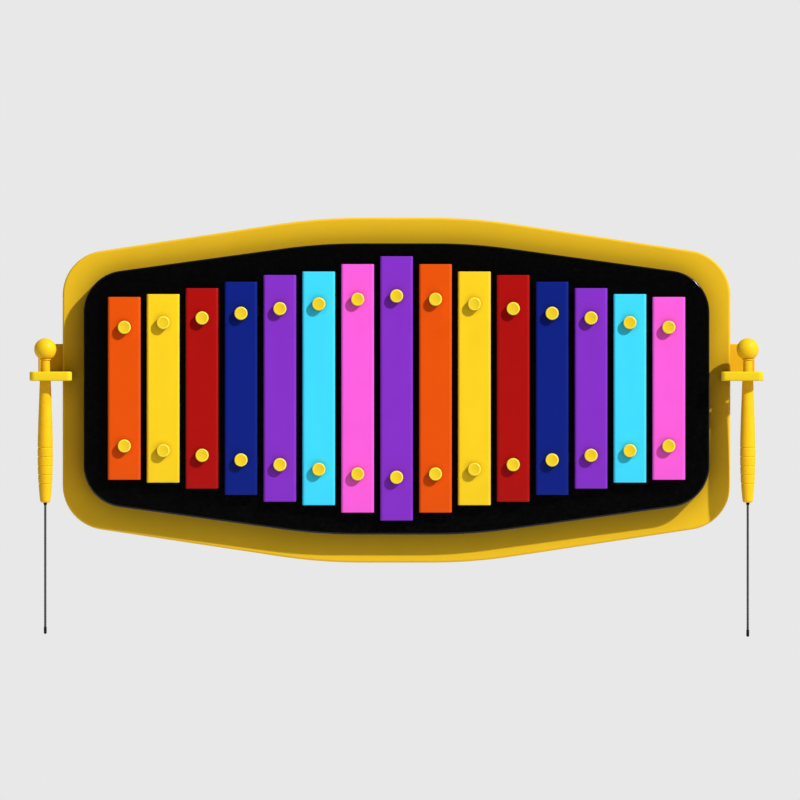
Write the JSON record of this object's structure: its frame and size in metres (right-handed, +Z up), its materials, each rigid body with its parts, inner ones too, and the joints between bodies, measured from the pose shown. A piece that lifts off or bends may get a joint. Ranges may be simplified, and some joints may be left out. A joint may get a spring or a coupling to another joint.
{
  "type": "wall-mounted xylophone",
  "caption": "Wall-mounted playground xylophone: coloured bars on a raised black housing over a yellow panel, with a tethered mallet in a bracket at each end.",
  "frame": {"origin": "middle of the flat back of the backing board, on the wall plane and on the panel's centre line", "axes": "+X along the xylophone to the right as seen from the front, +Z up, +Y into the wall, so the bars face -Y"},
  "size_m": [1.264, 0.1255, 0.7218],
  "materials": {
    "backing_black": "matt, sawn and routed high-density polyethylene board",
    "panel_yellow": "satin, fine orange-peel texture, coloured right through",
    "housing_black": "smooth satin-gloss moulding with softly rounded edges",
    "rail_rubber": "matt extruded rubber strip",
    "bar_orange": "aluminium under a satin orange powder coat, eased edges",
    "bar_yellow": "aluminium under a satin yellow powder coat, eased edges",
    "bar_red": "aluminium under a satin red powder coat, eased edges",
    "bar_blue": "aluminium under a satin blue powder coat, eased edges",
    "bar_purple": "aluminium under a satin purple powder coat, eased edges",
    "bar_cyan": "aluminium under a satin cyan powder coat, eased edges",
    "bar_pink": "aluminium under a satin pink powder coat, eased edges",
    "cap_yellow": "semi-gloss moulded cap",
    "mallet_head_yellow": "semi-gloss moulded ball",
    "mallet_handle_yellow": "semi-gloss moulded handle with ringed grip",
    "tether_steel": "twisted steel wire rope, dull grey",
    "tether_end_black": "matt black end stop"
  },
  "bodies": {
    "panel": {"backing_board": "backing_black", "base_panel": "panel_yellow", "bar_housing": "housing_black", "upper_rail": "rail_rubber", "lower_rail": "rail_rubber", "bar_01": "bar_orange", "upper_bolt_01": "cap_yellow", "lower_bolt_01": "cap_yellow", "bar_02": "bar_yellow", "upper_bolt_02": "cap_yellow", "lower_bolt_02": "cap_yellow", "bar_03": "bar_red", "upper_bolt_03": "cap_yellow", "lower_bolt_03": "cap_yellow", "bar_04": "bar_blue", "upper_bolt_04": "cap_yellow", "lower_bolt_04": "cap_yellow", "bar_05": "bar_purple", "upper_bolt_05": "cap_yellow", "lower_bolt_05": "cap_yellow", "bar_06": "bar_cyan", "upper_bolt_06": "cap_yellow", "lower_bolt_06": "cap_yellow", "bar_07": "bar_pink", "upper_bolt_07": "cap_yellow", "lower_bolt_07": "cap_yellow", "bar_08": "bar_purple", "upper_bolt_08": "cap_yellow", "lower_bolt_08": "cap_yellow", "bar_09": "bar_orange", "upper_bolt_09": "cap_yellow", "lower_bolt_09": "cap_yellow", "bar_10": "bar_yellow", "upper_bolt_10": "cap_yellow", "lower_bolt_10": "cap_yellow", "bar_11": "bar_red", "upper_bolt_11": "cap_yellow", "lower_bolt_11": "cap_yellow", "bar_12": "bar_blue", "upper_bolt_12": "cap_yellow", "lower_bolt_12": "cap_yellow", "bar_13": "bar_purple", "upper_bolt_13": "cap_yellow", "lower_bolt_13": "cap_yellow", "bar_14": "bar_cyan", "upper_bolt_14": "cap_yellow", "lower_bolt_14": "cap_yellow", "bar_15": "bar_pink", "upper_bolt_15": "cap_yellow", "lower_bolt_15": "cap_yellow", "left_bracket": "panel_yellow", "right_bracket": "panel_yellow"},
    "left_mallet": {"left_mallet_head": "mallet_head_yellow", "left_mallet_handle": "mallet_handle_yellow", "left_tether": "tether_steel", "left_tether_end": "tether_end_black"},
    "right_mallet": {"right_mallet_head": "mallet_head_yellow", "right_mallet_handle": "mallet_handle_yellow", "right_tether": "tether_steel", "right_tether_end": "tether_end_black"}
  },
  "joints": [
    {"name": "left_mallet_lift", "type": "slide", "parent": "panel", "child": "left_mallet", "axis": [0, 0, 1], "range_m": [-0.028, 0.24]},
    {"name": "right_mallet_lift", "type": "slide", "parent": "panel", "child": "right_mallet", "axis": [0, 0, 1], "range_m": [-0.028, 0.24]}
  ]
}
